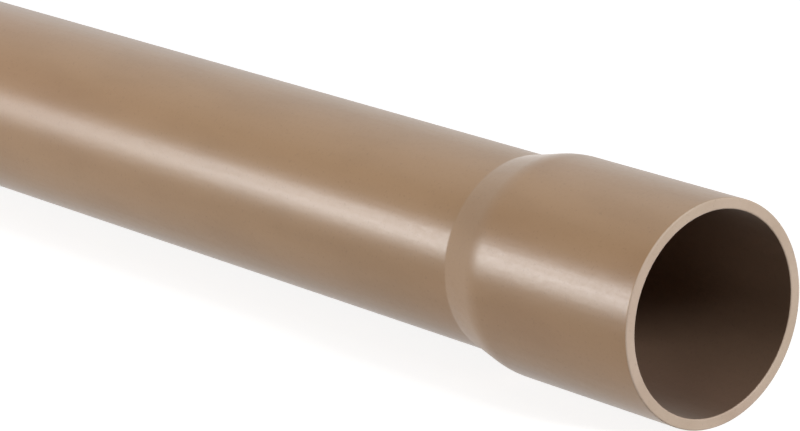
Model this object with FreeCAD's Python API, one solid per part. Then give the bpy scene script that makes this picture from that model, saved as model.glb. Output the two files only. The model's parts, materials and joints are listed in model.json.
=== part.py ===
"""One length of rigid PVC pressure pipe with a socket formed on one end.

The pipe lies on its side. X runs along the axis and out of the socket's mouth, Z is up, and the
origin is the centre of the mouth. The whole pipe is one extruded piece: the socket is the same
wall, heated and stretched over a mandrel, so it is a little thinner than the straight run.
Millimetres throughout.
"""

import FreeCAD
import Part

import os
from math import cos, radians, sin, tan

# Driving dimensions.
LENGTH = 3000.0  # overall, from the plain end to the socket's mouth
PIPE_OD = 50.0  # outside diameter of the straight run
PIPE_WALL = 3.0  # wall of the straight run
SOCKET_DEPTH = 52.0  # straight inside of the socket, as far as the next pipe's plain end goes in
SOCKET_WALL = 2.8  # wall left after the end is stretched
CEMENT_GAP = 0.15  # radial room in the socket round the next pipe's plain end
SHOULDER_ANGLE = 13.0  # slope of the shoulder between socket and pipe, in degrees
SHOULDER_ROUND = 25.0  # outside radius where the socket turns into the shoulder
NECK_ROUND = 4.0  # outside radius where the shoulder meets the straight run
MOUTH_EDGE = 0.4  # radius on both edges of the mouth
PLAIN_EDGE = 0.4  # radius on both edges of the plain end, where the saw burr is scraped off
EDGE_SHARE = 0.4  # largest share of a wall that one edge radius may take

FULL_TURN = 360.0  # degrees
CUBIC_MM_PER_CUBIC_CM = 1000.0

# Radii of the two walls.
PIPE_OUTSIDE = PIPE_OD / 2
PIPE_INSIDE = PIPE_OUTSIDE - PIPE_WALL
SOCKET_INSIDE = PIPE_OUTSIDE + CEMENT_GAP
SOCKET_OUTSIDE = SOCKET_INSIDE + SOCKET_WALL


def shoulder_corners():
    """Corner points of the shoulder as (x, radius) before rounding: outside pair, then inside pair.

    Each pair runs from the socket's wall to the pipe's. The inside is placed by the depth the next
    pipe enters, and the outside slope is parallel to it, a mean wall's thickness away.
    """
    slope = tan(radians(SHOULDER_ANGLE))
    half_turn = tan(radians(SHOULDER_ANGLE) / 2)
    inside_start = -SOCKET_DEPTH - (SHOULDER_ROUND - SOCKET_WALL) * half_turn
    inside_end = inside_start - (SOCKET_INSIDE - PIPE_INSIDE) / slope
    mean_wall = (PIPE_WALL + SOCKET_WALL) / 2
    rise = mean_wall / cos(radians(SHOULDER_ANGLE))
    outside_start = inside_start - (SOCKET_INSIDE + rise - SOCKET_OUTSIDE) / slope
    outside_end = outside_start - (SOCKET_OUTSIDE - PIPE_OUTSIDE) / slope
    outside = [(outside_start, SOCKET_OUTSIDE), (outside_end, PIPE_OUTSIDE)]
    inside = [(inside_start, SOCKET_INSIDE), (inside_end, PIPE_INSIDE)]
    return outside, inside


def section_corners():
    """Corners of the wall's half section, each as (x, radius from the axis, rounding radius)."""
    outside, inside = shoulder_corners()
    mouth_edge = min(MOUTH_EDGE, EDGE_SHARE * SOCKET_WALL)
    plain_edge = min(PLAIN_EDGE, EDGE_SHARE * PIPE_WALL)
    return [
        (-LENGTH, PIPE_OUTSIDE, plain_edge),
        (*outside[1], NECK_ROUND),
        (*outside[0], SHOULDER_ROUND),
        (0.0, SOCKET_OUTSIDE, mouth_edge),
        (0.0, SOCKET_INSIDE, mouth_edge),
        (*inside[0], SHOULDER_ROUND - SOCKET_WALL),
        (*inside[1], NECK_ROUND + PIPE_WALL),
        (-LENGTH, PIPE_INSIDE, plain_edge),
    ]


def point(x, radius):
    """A point of the half section, in the plane above the axis."""
    return FreeCAD.Vector(x, 0, radius)


def rounded_corner(before, corner, after, radius):
    """The start, middle and end of the arc that rounds one corner and is tangent to both sides."""
    to_before = (before - corner).normalize()
    to_after = (after - corner).normalize()
    half = to_before.getAngle(to_after) / 2
    tangent = radius / tan(half)
    bisector = (to_before + to_after).normalize()
    start = corner + to_before * tangent
    middle = corner + bisector * (radius / sin(half) - radius)
    end = corner + to_after * tangent
    return start, middle, end


def rounded_wire(corners):
    """A closed wire of straight runs and tangent arcs through the rounded corners."""
    points = [point(x, radius) for x, radius, _ in corners]
    count = len(points)
    arcs = []
    for i, (_, _, rounding) in enumerate(corners):
        arcs.append(rounded_corner(points[i - 1], points[i], points[(i + 1) % count], rounding))
    edges = []
    for i, (start, middle, end) in enumerate(arcs):
        edges.append(Part.Arc(start, middle, end).toShape())
        edges.append(Part.LineSegment(end, arcs[(i + 1) % count][0]).toShape())
    return Part.Wire(edges)


def belled_pipe():
    """The whole pipe: the wall's half section turned about the X axis."""
    section = Part.Face(rounded_wire(section_corners()))
    return section.revolve(FreeCAD.Vector(0, 0, 0), FreeCAD.Vector(1, 0, 0), FULL_TURN)


def main():
    """Builds the pipe, writes its STEP file and prints its size."""
    os.makedirs("parts", exist_ok=True)
    pipe = belled_pipe()
    pipe.exportStep("parts/belled_pipe.step")
    box = pipe.optimalBoundingBox()
    volume = pipe.Volume / CUBIC_MM_PER_CUBIC_CM
    print(f"belled_pipe: valid {pipe.isValid()}, solids {len(pipe.Solids)}, {volume:.2f} cubic cm")
    print(f"size {box.XLength:.3f} x {box.YLength:.3f} x {box.ZLength:.3f} mm")


main()
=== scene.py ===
"""Looks of one length of brown rigid PVC pressure pipe with a socket formed on its end.

Metres throughout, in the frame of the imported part: X runs along the pipe's axis and out of the
socket's mouth, Z is up, and the origin is the centre of the mouth. The pipe is one extruded piece,
so it is one turned mesh with one finish. Colours are linear.
"""

import json
import logging
from dataclasses import dataclass, field
from enum import Enum
from math import cos, radians, sin, tan, tau
from typing import Any, Iterator, Union

import bpy
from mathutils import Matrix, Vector


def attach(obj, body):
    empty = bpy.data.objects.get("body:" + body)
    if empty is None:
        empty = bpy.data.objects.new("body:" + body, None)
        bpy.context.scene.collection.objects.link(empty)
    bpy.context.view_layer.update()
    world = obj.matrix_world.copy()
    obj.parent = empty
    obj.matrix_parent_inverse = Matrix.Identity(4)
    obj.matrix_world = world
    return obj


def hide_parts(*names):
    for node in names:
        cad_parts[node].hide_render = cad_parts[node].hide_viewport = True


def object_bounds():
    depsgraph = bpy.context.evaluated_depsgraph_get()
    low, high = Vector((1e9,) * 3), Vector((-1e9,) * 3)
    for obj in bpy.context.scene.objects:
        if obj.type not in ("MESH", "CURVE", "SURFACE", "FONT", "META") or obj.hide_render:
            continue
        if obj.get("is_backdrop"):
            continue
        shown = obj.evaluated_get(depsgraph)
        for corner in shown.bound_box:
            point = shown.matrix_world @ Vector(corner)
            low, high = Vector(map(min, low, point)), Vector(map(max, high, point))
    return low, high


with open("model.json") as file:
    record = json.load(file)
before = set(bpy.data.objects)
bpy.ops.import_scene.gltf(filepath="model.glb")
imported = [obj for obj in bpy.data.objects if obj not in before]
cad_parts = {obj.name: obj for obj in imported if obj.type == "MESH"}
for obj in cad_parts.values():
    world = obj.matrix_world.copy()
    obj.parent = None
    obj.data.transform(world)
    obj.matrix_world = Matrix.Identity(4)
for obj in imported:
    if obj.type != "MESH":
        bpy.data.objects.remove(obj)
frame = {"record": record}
CAD_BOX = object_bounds()

LOG = logging.getLogger("pipe")
MM = 0.001
EDGE = 0.4 * MM  # radius on the edges of the mouth and of the plain end

Colour = tuple[float, float, float]
Point = tuple[float, float, float]
WHITE: Colour = (1.0, 1.0, 1.0)


# ---------------------------------------------------------------- shader and geometry node helpers


class Value:
    """A number or a colour in a node tree. Each operator adds a Math node, so they are for numbers."""

    def __init__(self, tree: "Tree", socket: bpy.types.NodeSocket) -> None:
        """Wraps one output socket of a tree."""
        self.tree = tree
        self.socket = socket

    def _math(self, operation: str, *terms: Union["Value", float]) -> "Value":
        """Adds one Math node.

        Args:
            operation: the Math node's operation.
            *terms: its inputs in order, as values or plain numbers.

        Returns:
            The node's result.
        """
        inputs = {index: term for index, term in enumerate(terms)}
        return self.tree.value("ShaderNodeMath", {"operation": operation}, inputs)

    def __add__(self, other: Union["Value", float]) -> "Value":
        """This plus other."""
        return self._math("ADD", self, other)

    def __radd__(self, other: float) -> "Value":
        """A number plus this."""
        return self._math("ADD", other, self)

    def __sub__(self, other: Union["Value", float]) -> "Value":
        """This less other."""
        return self._math("SUBTRACT", self, other)

    def __rsub__(self, other: float) -> "Value":
        """A number less this."""
        return self._math("SUBTRACT", other, self)

    def __mul__(self, other: Union["Value", float]) -> "Value":
        """This times other."""
        return self._math("MULTIPLY", self, other)

    def __rmul__(self, other: float) -> "Value":
        """A number times this."""
        return self._math("MULTIPLY", other, self)

    def most(self, other: Union["Value", float]) -> "Value":
        """The larger of this and other."""
        return self._math("MAXIMUM", self, other)

    def smooth(self, low: float, high: float) -> "Value":
        """Rises smoothly from 0 to 1 as this goes from low to high.

        Args:
            low: where the result is 0.
            high: where the result is 1.

        Returns:
            The eased value.
        """
        settings = {"interpolation_type": "SMOOTHSTEP"}
        inputs = {"Value": self, "From Min": low, "From Max": high}
        return self.tree.value("ShaderNodeMapRange", settings, inputs, "Result")


def solid(colour: Any) -> Any:
    """A plain colour with full alpha, or the value that was given."""
    return (*colour, 1.0) if isinstance(colour, tuple) and len(colour) == 3 else colour


class Tree:
    """A node tree that is filled through one method."""

    def __init__(self, node_tree: bpy.types.NodeTree) -> None:
        """Takes the tree to fill."""
        self.node_tree = node_tree

    def node(self, kind: str, settings: dict[str, Any], inputs: dict[Any, Any]) -> bpy.types.Node:
        """Adds one node.

        Args:
            kind: the node's type.
            settings: its properties, which are set before any socket.
            inputs: socket name or number to a plain value, a Value or a socket.

        Returns:
            The new node.
        """
        node = self.node_tree.nodes.new(kind)
        for name, setting in settings.items():
            setattr(node, name, setting)
        for name, given in inputs.items():
            self.feed(node.inputs[name], given)
        return node

    def value(self, kind: str, settings: dict[str, Any], inputs: dict[Any, Any],
              output: Union[str, int] = 0) -> Value:
        """Adds one node and wraps one of its outputs.

        Args:
            kind: the node's type.
            settings: its properties.
            inputs: its sockets' values or links.
            output: the name or number of the output wanted.

        Returns:
            That output as a Value.
        """
        return Value(self, self.node(kind, settings, inputs).outputs[output])

    def feed(self, socket: bpy.types.NodeSocket, given: Any) -> None:
        """Links a Value or an output socket to an input socket, or sets the input to a plain value."""
        if isinstance(given, Value):
            given = given.socket
        if isinstance(given, bpy.types.NodeSocket):
            self.node_tree.links.new(given, socket)
        else:
            socket.default_value = given

    def mix(self, factor: Union[Value, float], first: Any, second: Any, blend: str = "MIX") -> Value:
        """Mixes two colours.

        Args:
            factor: the share of the second colour.
            first: a colour or a value.
            second: a colour or a value.
            blend: how the second is laid on the first.

        Returns:
            The mixed colour.
        """
        node = self.node("ShaderNodeMix", {"data_type": "RGBA", "blend_type": blend}, {})
        for name, given in {"Factor": factor, "A": solid(first), "B": solid(second)}.items():
            self.feed(next(s for s in node.inputs if s.name == name and s.enabled), given)
        return Value(self, next(s for s in node.outputs if s.enabled))


def seen_rays(tree: Tree) -> Value:
    """Is 1 for camera, glossy and transmission rays, and 0 for matt light."""
    rays = tree.node("ShaderNodeLightPath", {}, {}).outputs
    camera, glossy = Value(tree, rays["Is Camera Ray"]), Value(tree, rays["Is Glossy Ray"])
    return camera.most(glossy).most(Value(tree, rays["Is Transmission Ray"]))


# ---------------------------------------------------------------- finish


@dataclass(frozen=True)
class Grain:
    """One layer of noise.

    Attributes:
        size: rough size of one blotch, in metres.
        detail: octaves of finer noise in it.
        roughness: how strong the finer octaves are.
        stretch: how many times longer it is along the pipe than round it.
    """

    size: float
    detail: float = 2.0
    roughness: float = 0.5
    stretch: float = 1.0

    def build(self, tree: Tree) -> Value:
        """Adds the noise to a material, and returns its value from 0 to 1."""
        place = tree.node("ShaderNodeTexCoord", {}, {}).outputs["Object"]
        scale = (1.0 / self.stretch, 1.0, 1.0)
        mapped = tree.node("ShaderNodeMapping", {}, {"Vector": place, "Scale": scale})
        inputs = {"Vector": mapped.outputs["Vector"], "Scale": 1.0 / self.size,
                  "Detail": self.detail, "Roughness": self.roughness}
        return tree.value("ShaderNodeTexNoise", {"noise_dimensions": "3D"}, inputs)


DRIFT: Colour = (0.905, 0.890, 0.860)  # where the pigment drifts darker
WARM: Colour = (1.000, 0.955, 1.000)  # broad, soft, redder patches
SPECK: Colour = (0.690, 0.655, 0.665)  # small dark specks of pigment
NOISE_MEAN = 0.5


@dataclass(frozen=True)
class Tint:
    """A tint laid over the base colour where a layer of noise is high.

    Attributes:
        colour: what the base colour is multiplied by.
        grain: the noise.
        low: noise below which there is no tint.
        high: noise above which the tint has its full strength.
        strength: its largest share.
    """

    colour: Colour
    grain: Grain
    low: float
    high: float
    strength: float

    def lay(self, tree: Tree, base: Value) -> Value:
        """Tints the base colour."""
        share = self.grain.build(tree).smooth(self.low, self.high) * self.strength
        return tree.mix(share, base, self.colour, "MULTIPLY")


@dataclass(frozen=True)
class RigidPvc:
    """Brown pigmented rigid PVC as it leaves the extruder: satin, faintly mottled and drawn.

    Attributes:
        body: colour of the outside.
        inside: duller and darker colour of the wall of the bore, which is painted shade.
        sawn: paler, matt colour of the two cut faces.
        mottle: noise of the fine blotches.
        lines: noise of the fine lines drawn along the pipe by the die.
        peel: noise of the skin's faint unevenness.
        tints: what varies the colour, in the order in which they are laid.
        gloss: roughness of the smooth skin.
        mottle_gloss: how much the mottle changes the roughness.
        line_gloss: how much the drawn lines change it.
        sawn_gloss: how much rougher the cut faces are.
        mottle_height: share of the mottle in the relief, beside the skin's unevenness.
        line_height: share of the drawn lines in it.
        relief: height of the relief, in metres.
        relief_share: how strongly the relief turns the light.
        ior: index of refraction.
        bloom: strength of the pale haze that the skin shows edge on.
        bloom_spread: how far that haze reaches from the outline.
        ends: places of the two cut faces along the pipe.
        edge: distance from a cut face at which its colour starts, which is the radius of its edges.
        edge_full: distance from a cut face at which its colour is full.
        turn: how far below zero the radius times the normal's share along it is on a full bore.
    """

    body: Colour = (0.356, 0.211, 0.105)
    # painted shade: the wall of the bore gets a darker, duller colour than the outside
    inside: Colour = (0.200, 0.124, 0.080)
    sawn: Colour = (0.510, 0.398, 0.308)
    mottle: Grain = Grain(size=0.0011, detail=2.0, roughness=0.6)
    lines: Grain = Grain(size=0.0016, detail=2.0, stretch=160.0)
    peel: Grain = Grain(size=0.0024, detail=1.0, stretch=2.0)
    tints: tuple[Tint, ...] = (
        Tint(DRIFT, Grain(size=0.012, detail=3.0, stretch=3.0), low=0.35, high=0.75, strength=1.0),
        Tint(WARM, Grain(size=0.045, detail=2.0, stretch=2.5), low=0.40, high=0.80, strength=0.7),
        Tint(DRIFT, mottle, low=0.45, high=0.80, strength=0.35),
        Tint(SPECK, Grain(size=0.0007, detail=0.0), low=0.70, high=0.80, strength=0.3),
    )
    gloss: float = 0.33
    mottle_gloss: float = 0.10
    line_gloss: float = 0.08
    sawn_gloss: float = 0.20
    mottle_height: float = 0.25
    line_height: float = 0.35
    relief: float = 0.25 * MM
    relief_share: float = 0.10
    ior: float = 1.42
    bloom: float = 0.25
    bloom_spread: float = 0.35
    ends: tuple[float, float] = (CAD_BOX[0][0], CAD_BOX[1][0])
    edge: float = EDGE
    edge_full: float = 0.15 * MM
    turn: float = 15.0 * MM

    def cut_faces(self, tree: Tree) -> Value:
        """Is 1 on the two cut faces and fades out over their rounded edges."""
        place = tree.node("ShaderNodeTexCoord", {}, {}).outputs["Object"]
        along = tree.value("ShaderNodeSeparateXYZ", {}, {"Vector": place}, "X")
        low, high = self.ends
        plain_face = 1.0 - along.smooth(low + self.edge_full, low + self.edge)
        mouth_face = along.smooth(high - self.edge, high - self.edge_full)
        return plain_face.most(mouth_face)

    def painted_bore_shade(self, tree: Tree) -> Value:
        """Is 1 where the wall faces the axis, where the bore's painted shade goes, and 0 outside and on the
        cut faces.
        """
        texture = tree.node("ShaderNodeTexCoord", {}, {}).outputs
        across = (0.0, 1.0, 1.0)
        reach = tree.node("ShaderNodeVectorMath", {"operation": "MULTIPLY"}, {
            0: texture["Object"], 1: across,
        })
        outward = tree.value("ShaderNodeVectorMath", {"operation": "DOT_PRODUCT"}, {
            0: reach.outputs["Vector"], 1: texture["Normal"],
        }, "Value")
        return 1.0 - outward.smooth(-self.turn, 0.0)

    def material(self, name: str) -> bpy.types.Material:
        """Makes the material.

        Args:
            name: its name.

        Returns:
            The finished material.
        """
        made = bpy.data.materials.new(name)
        made.use_nodes = True
        made.node_tree.nodes.clear()
        tree = Tree(made.node_tree)
        mottle, lines = self.mottle.build(tree), self.lines.build(tree)
        cut = self.cut_faces(tree)
        # painted shade: the wall of the bore is laid darker and duller than the outside
        colour = tree.mix(self.painted_bore_shade(tree), self.body, self.inside)
        colour = tree.mix(cut, colour, self.sawn)
        for tint in self.tints:
            colour = tint.lay(tree, colour)
        roughness = self.gloss + (mottle - NOISE_MEAN) * self.mottle_gloss
        roughness = roughness + (lines - NOISE_MEAN) * self.line_gloss + cut * self.sawn_gloss
        height = lines * self.line_height + self.peel.build(tree) + mottle * self.mottle_height
        bump = tree.node("ShaderNodeBump", {}, {
            "Strength": self.relief_share, "Distance": self.relief, "Height": height,
        })
        shader = tree.node("ShaderNodeBsdfPrincipled", {}, {
            "Base Color": colour, "Roughness": roughness, "IOR": self.ior,
            "Sheen Weight": self.bloom, "Sheen Roughness": self.bloom_spread,
            "Normal": bump.outputs["Normal"],
        })
        tree.node("ShaderNodeOutputMaterial", {}, {"Surface": shader.outputs["BSDF"]})
        return made


# ---------------------------------------------------------------- the pipe


class Input(Enum):
    """Named inputs of the turning tree."""

    RADIUS = "Pipe radius"
    AROUND = "Facets round the pipe"
    STEPS = "Steps in each rounded edge"
    FINISH = "Finish"


def mount(name: str) -> dict[str, Any]:
    """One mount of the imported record, by name."""
    return next(m for m in frame["record"]["mounts"] if m["name"] == name)


@dataclass
class SocketedPipe:
    """The pipe: the half section of its wall, turned about the axis.

    Attributes:
        name: name of the piece.
        outside: radius of the straight run.
        inside: radius of its bore.
        socket_inside: radius inside the socket.
        socket_outside: radius outside the socket, which is half the part's height.
        length: overall length, from the plain end to the mouth.
        edge: radius on the edges of the mouth and of the plain end.
        angle: slope of the shoulder.
        shoulder_round: outside radius where the socket turns into the shoulder.
        neck_round: outside radius where the shoulder meets the straight run.
        around: facets round the pipe.
        steps: steps in each rounded edge.
        guard: distance of the first support ring from a rounded edge.
        growth: how much further apart each next support ring is.
        widest: largest distance between two rings.
        finish: the plastic it is made of.
    """

    name: str = "pvc_pipe"
    outside: float = mount("plain_end")["dims"]["r_mm"] * MM
    inside: float = mount("bore")["dims"]["r_mm"] * MM
    socket_inside: float = mount("socket")["dims"]["r_mm"] * MM
    socket_outside: float = (CAD_BOX[1][2] - CAD_BOX[0][2]) / 2
    length: float = CAD_BOX[1][0] - CAD_BOX[0][0]
    edge: float = EDGE
    angle: float = radians(13.0)
    shoulder_round: float = 25.0 * MM
    neck_round: float = 4.0 * MM
    around: int = 288
    steps: int = 8
    guard: float = 0.15 * MM
    growth: float = 2.2
    widest: float = 60.0 * MM
    finish: RigidPvc = field(default_factory=RigidPvc)

    def corners(self) -> list[tuple[float, float, float]]:
        """Corners of the wall's half section, each as (x, radius, rounding), as in the solid."""
        wall, socket_wall = self.outside - self.inside, self.socket_outside - self.socket_inside
        slope, half_turn = tan(self.angle), tan(self.angle / 2)
        depth = mount("socket")["dims"]["length_mm"] * MM + self.edge
        inner_start = -depth - (self.shoulder_round - socket_wall) * half_turn
        inner_end = inner_start - (self.socket_inside - self.inside) / slope
        rise = (wall + socket_wall) / 2 / cos(self.angle)
        outer_start = inner_start - (self.socket_inside + rise - self.socket_outside) / slope
        outer_end = outer_start - (self.socket_outside - self.outside) / slope
        return [
            (-self.length, self.outside, self.edge),
            (outer_end, self.outside, self.neck_round),
            (outer_start, self.socket_outside, self.shoulder_round),
            (0.0, self.socket_outside, self.edge),
            (0.0, self.socket_inside, self.edge),
            (inner_start, self.socket_inside, self.shoulder_round - socket_wall),
            (inner_end, self.inside, self.neck_round + wall),
            (-self.length, self.inside, self.edge),
        ]

    def rings(self, length: float) -> Iterator[float]:
        """Places of the support rings along a straight run of the given length, from its start."""
        steps, step = [], self.guard
        while step < self.widest and (sum(steps) + step) * 2 < length:
            steps.append(step)
            step *= self.growth
        reach = sum(steps)
        middle = length - 2 * reach
        count = max(1, round(middle / self.widest))
        place = 0.0
        for step in steps:
            place += step
            yield place
        for index in range(1, count):
            yield reach + middle * index / count
        place = length - reach
        for step in reversed(steps):
            yield place
            place += step

    def outline(self) -> bpy.types.Mesh:
        """Makes the half section as a closed loop of edges, with each corner's rounding on it."""
        corners = [(Vector((x, r)), rounding) for x, r, rounding in self.corners()]
        count = len(corners)
        cuts = []
        for index, (corner, rounding) in enumerate(corners):
            before, after = corners[index - 1][0] - corner, corners[(index + 1) % count][0] - corner
            cuts.append(rounding / tan(before.angle(after) / 2))
        points: list[Point] = []
        roundings: list[float] = []
        for index, (corner, rounding) in enumerate(corners):
            points.append((corner.x, corner.y - self.outside, 0.0))
            roundings.append(rounding)
            run = corners[(index + 1) % count][0] - corner
            straight = run.length - cuts[index] - cuts[(index + 1) % count]
            for place in self.rings(straight):
                at = corner + run.normalized() * (cuts[index] + place)
                points.append((at.x, at.y - self.outside, 0.0))
                roundings.append(0.0)
        mesh = bpy.data.meshes.new(self.name + "_section")
        mesh.from_pydata(points, [(i, (i + 1) % len(points)) for i in range(len(points))], [])
        mesh.attributes.new("rounding", "FLOAT", "POINT").data.foreach_set("value", roundings)
        return mesh

    def turning_tree(self) -> bpy.types.NodeTree:
        """Builds the tree that rounds the section's corners and carries it round the axis."""
        made = bpy.data.node_groups.new(self.name + "_turning", "GeometryNodeTree")
        sockets = made.interface
        sockets.new_socket("Section", in_out="INPUT", socket_type="NodeSocketGeometry")
        sockets.new_socket(Input.RADIUS.value, in_out="INPUT", socket_type="NodeSocketFloat")
        sockets.new_socket(Input.AROUND.value, in_out="INPUT", socket_type="NodeSocketInt")
        sockets.new_socket(Input.STEPS.value, in_out="INPUT", socket_type="NodeSocketInt")
        sockets.new_socket(Input.FINISH.value, in_out="INPUT", socket_type="NodeSocketMaterial")
        sockets.new_socket("Pipe", in_out="OUTPUT", socket_type="NodeSocketGeometry")
        tree = Tree(made)
        given = tree.node("NodeGroupInput", {}, {}).outputs
        rounding = tree.node("GeometryNodeInputNamedAttribute", {"data_type": "FLOAT"}, {
            "Name": "rounding",
        })
        loop = tree.node("GeometryNodeMeshToCurve", {}, {"Mesh": given["Section"]})
        rounded = tree.node("GeometryNodeFilletCurve", {"mode": "POLY"}, {
            "Curve": loop.outputs["Curve"], "Count": given[Input.STEPS.value],
            "Radius": rounding.outputs["Attribute"],
        })
        circle = tree.node("GeometryNodeCurvePrimitiveCircle", {"mode": "RADIUS"}, {
            "Resolution": given[Input.AROUND.value], "Radius": given[Input.RADIUS.value],
        })
        upright = tree.node("GeometryNodeTransform", {}, {
            "Geometry": circle.outputs["Curve"], "Rotation": (0.0, tau / 4, 0.0),
        })
        turned = tree.node("GeometryNodeCurveToMesh", {}, {
            "Curve": upright.outputs["Geometry"], "Profile Curve": rounded.outputs["Curve"],
        })
        outward = tree.node("GeometryNodeFlipFaces", {}, {"Mesh": turned.outputs["Mesh"]})
        smooth = tree.node("GeometryNodeSetShadeSmooth", {}, {"Geometry": outward.outputs["Mesh"]})
        finished = tree.node("GeometryNodeSetMaterial", {}, {
            "Geometry": smooth.outputs["Geometry"], "Material": given[Input.FINISH.value],
        })
        tree.node("NodeGroupOutput", {}, {"Pipe": finished.outputs["Geometry"]})
        return made

    def build(self) -> bpy.types.Object:
        """Turns the section into the pipe's mesh, dresses it and hands it to the frame.

        Returns:
            The finished piece.
        """
        material = self.finish.material("brown_rigid_pvc")
        section = bpy.data.objects.new(self.name + "_section", self.outline())
        bpy.context.scene.collection.objects.link(section)
        tree = self.turning_tree()
        modifier = section.modifiers.new("turning", "NODES")
        modifier.node_group = tree
        inputs = {Input.RADIUS: self.outside, Input.AROUND: self.around, Input.STEPS: self.steps,
                  Input.FINISH: material}
        for item in tree.interface.items_tree:
            for key, given in inputs.items():
                if item.name == key.value:
                    modifier[item.identifier] = given
        graph = bpy.context.evaluated_depsgraph_get()
        mesh = bpy.data.meshes.new_from_object(section.evaluated_get(graph))
        bpy.data.objects.remove(section)
        mesh.name = self.name
        piece = bpy.data.objects.new(self.name, mesh)
        bpy.context.scene.collection.objects.link(piece)
        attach(piece, "root")
        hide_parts("belled_pipe")
        LOG.info("%s: %d faces", piece.name, len(mesh.polygons))
        return piece


# ---------------------------------------------------------------- stage, light and camera


@dataclass(frozen=True)
class SoftBox:
    """One rectangular lamp.

    Attributes:
        name: its name.
        place: where it hangs.
        target: what it faces.
        size: its width and height.
        power: its power, in watts.
    """

    name: str
    place: Point
    target: Point
    size: tuple[float, float]
    power: float

    def hang(self) -> None:
        """Makes the lamp and turns it to its target."""
        light = bpy.data.lights.new(self.name, "AREA")
        light.shape, light.energy = "RECTANGLE", self.power
        light.size, light.size_y = self.size
        made = bpy.data.objects.new(self.name, light)
        made.location = self.place
        aim = Vector(self.target) - Vector(self.place)
        made.rotation_euler = aim.to_track_quat("-Z", "Y").to_euler()
        bpy.context.scene.collection.objects.link(made)


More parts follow.
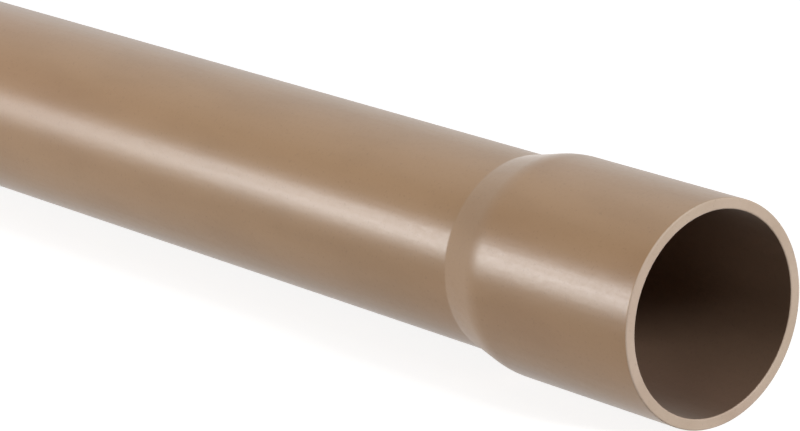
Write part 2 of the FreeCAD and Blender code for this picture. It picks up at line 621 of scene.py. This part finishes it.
@dataclass(frozen=True)
class Studio:
    """Plain white floor and surroundings, soft light, and a long lens on the mouth.

    Attributes:
        floor_size: side of the floor.
        floor_tone: how pale the floor is to matt light, which sets how deep the shadow is.
        floor_lift: how much the floor glows to the camera and to reflections, so that it reads white.
        near: distance from the pipe within which the floor glows that much.
        far: distance from the pipe from which it glows fully, where little light reaches it.
        along: share by which distance along the pipe counts in those two.
        ambient: how bright the surroundings are to matt surfaces.
        lamps: the strip that draws the highlight along the pipe, one overhead, one in front of the
            mouth and a weak one low at the side.
        azimuth: how far the camera is turned from looking along +Y towards -X.
        elevation: how far it looks down.
        camera_place: where it stands.
        lens: its focal length, in millimetres.
        sensor: its sensor's width, in millimetres.
    """

    floor_size: float = 160.0
    floor_tone: float = 0.40
    floor_lift: float = 0.84
    near: float = 1.0
    far: float = 3.5
    along: float = 0.5
    ambient: float = 0.05
    lamps: tuple[SoftBox, ...] = (
        SoftBox("strip", place=(-1.45, -1.40, 0.25), target=(-1.45, 0.0, 0.0), size=(1.0, 0.58), power=34.5),
        SoftBox("overhead", place=(-1.0, 0.2, 2.0), target=(-1.0, 0.0, 0.0), size=(3.4, 2.4), power=14.0),
        SoftBox("front", place=(2.1, 0.2, 1.15), target=(0.0, 0.0, 0.0), size=(0.6, 0.6), power=51.0),
        SoftBox("side", place=(0.70, -1.50, 0.08), target=(0.0, 0.0, 0.0), size=(0.6, 0.2), power=1.5),
    )
    azimuth: float = radians(50.39)
    elevation: float = radians(14.86)
    camera_place: Point = (0.7091, -0.6822, 0.2843)
    lens: float = 196.7
    sensor: float = 36.0

    def world(self) -> None:
        """Makes surroundings white to the camera and to reflections, and dimmer to matt light."""
        made = bpy.data.worlds.new("surroundings")
        made.use_nodes = True
        made.node_tree.nodes.clear()
        tree = Tree(made.node_tree)
        strength = self.ambient + seen_rays(tree) * (1.0 - self.ambient)
        background = tree.node("ShaderNodeBackground", {}, {"Color": solid(WHITE), "Strength": strength})
        tree.node("ShaderNodeOutputWorld", {}, {"Surface": background.outputs["Background"]})
        bpy.context.scene.world = made

    def floor_glow(self, tree: Tree) -> Value:
        """The colour of the floor's glow, which grows to white away from the pipe."""
        place = tree.node("ShaderNodeTexCoord", {}, {}).outputs["Object"]
        middle = (CAD_BOX[0][0] + CAD_BOX[1][0]) / 2
        offset = tree.node("ShaderNodeVectorMath", {"operation": "MULTIPLY_ADD"}, {
            0: place, 1: (self.along, 1.0, 0.0), 2: (-middle * self.along, 0.0, 0.0),
        })
        away = tree.value("ShaderNodeVectorMath", {"operation": "LENGTH"}, {
            0: offset.outputs["Vector"],
        }, "Value")
        return tree.mix(away.smooth(self.near, self.far), (self.floor_lift,) * 3, WHITE)

    def floor_material(self) -> bpy.types.Material:
        """Makes the floor's material: pale and matt, and glowing to the camera and to reflections."""
        made = bpy.data.materials.new("pale_floor")
        made.use_nodes = True
        made.node_tree.nodes.clear()
        tree = Tree(made.node_tree)
        matt = tree.node("ShaderNodeBsdfDiffuse", {}, {"Color": solid((self.floor_tone,) * 3)})
        lift = tree.node("ShaderNodeEmission", {}, {
            "Color": self.floor_glow(tree), "Strength": seen_rays(tree),
        })
        both = tree.node("ShaderNodeAddShader", {}, {0: matt.outputs["BSDF"], 1: lift.outputs["Emission"]})
        tree.node("ShaderNodeOutputMaterial", {}, {"Surface": both.outputs["Shader"]})
        return made

    def floor(self) -> None:
        """Lays the floor at the pipe's lowest point."""
        half, low = self.floor_size / 2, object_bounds()[0][2]
        mesh = bpy.data.meshes.new("floor")
        corners = [(-half, -half, low), (half, -half, low), (half, half, low), (-half, half, low)]
        mesh.from_pydata(corners, [], [(0, 1, 2, 3)])
        mesh.materials.append(self.floor_material())
        floor = bpy.data.objects.new("floor", mesh)
        bpy.context.scene.collection.objects.link(floor)
        floor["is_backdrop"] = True

    def camera(self) -> None:
        """Places the camera."""
        data = bpy.data.cameras.new("camera")
        data.lens, data.sensor_width = self.lens, self.sensor
        data.clip_end = 2 * self.floor_size
        made = bpy.data.objects.new("camera", data)
        made.location = self.camera_place
        level = cos(self.elevation)
        aim = Vector((-sin(self.azimuth) * level, cos(self.azimuth) * level, -sin(self.elevation)))
        made.rotation_euler = aim.to_track_quat("-Z", "Y").to_euler()
        bpy.context.scene.collection.objects.link(made)
        bpy.context.scene.camera = made

    def build(self) -> None:
        """Sets up the whole studio."""
        bpy.context.scene.view_settings.view_transform = "Standard"
        self.world()
        self.floor()
        for lamp in self.lamps:
            lamp.hang()
        self.camera()
        LOG.info("studio: %d lamps", len(self.lamps))


def main() -> None:
    """Builds the pipe and its studio."""
    logging.basicConfig(level=logging.INFO)
    SocketedPipe().build()
    Studio().build()
    boxes = {"cad": CAD_BOX, "visual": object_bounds()}
    lists = {name: [[float(x) for x in corner] for corner in box] for name, box in boxes.items()}


if __name__ == "__main__":
    main()
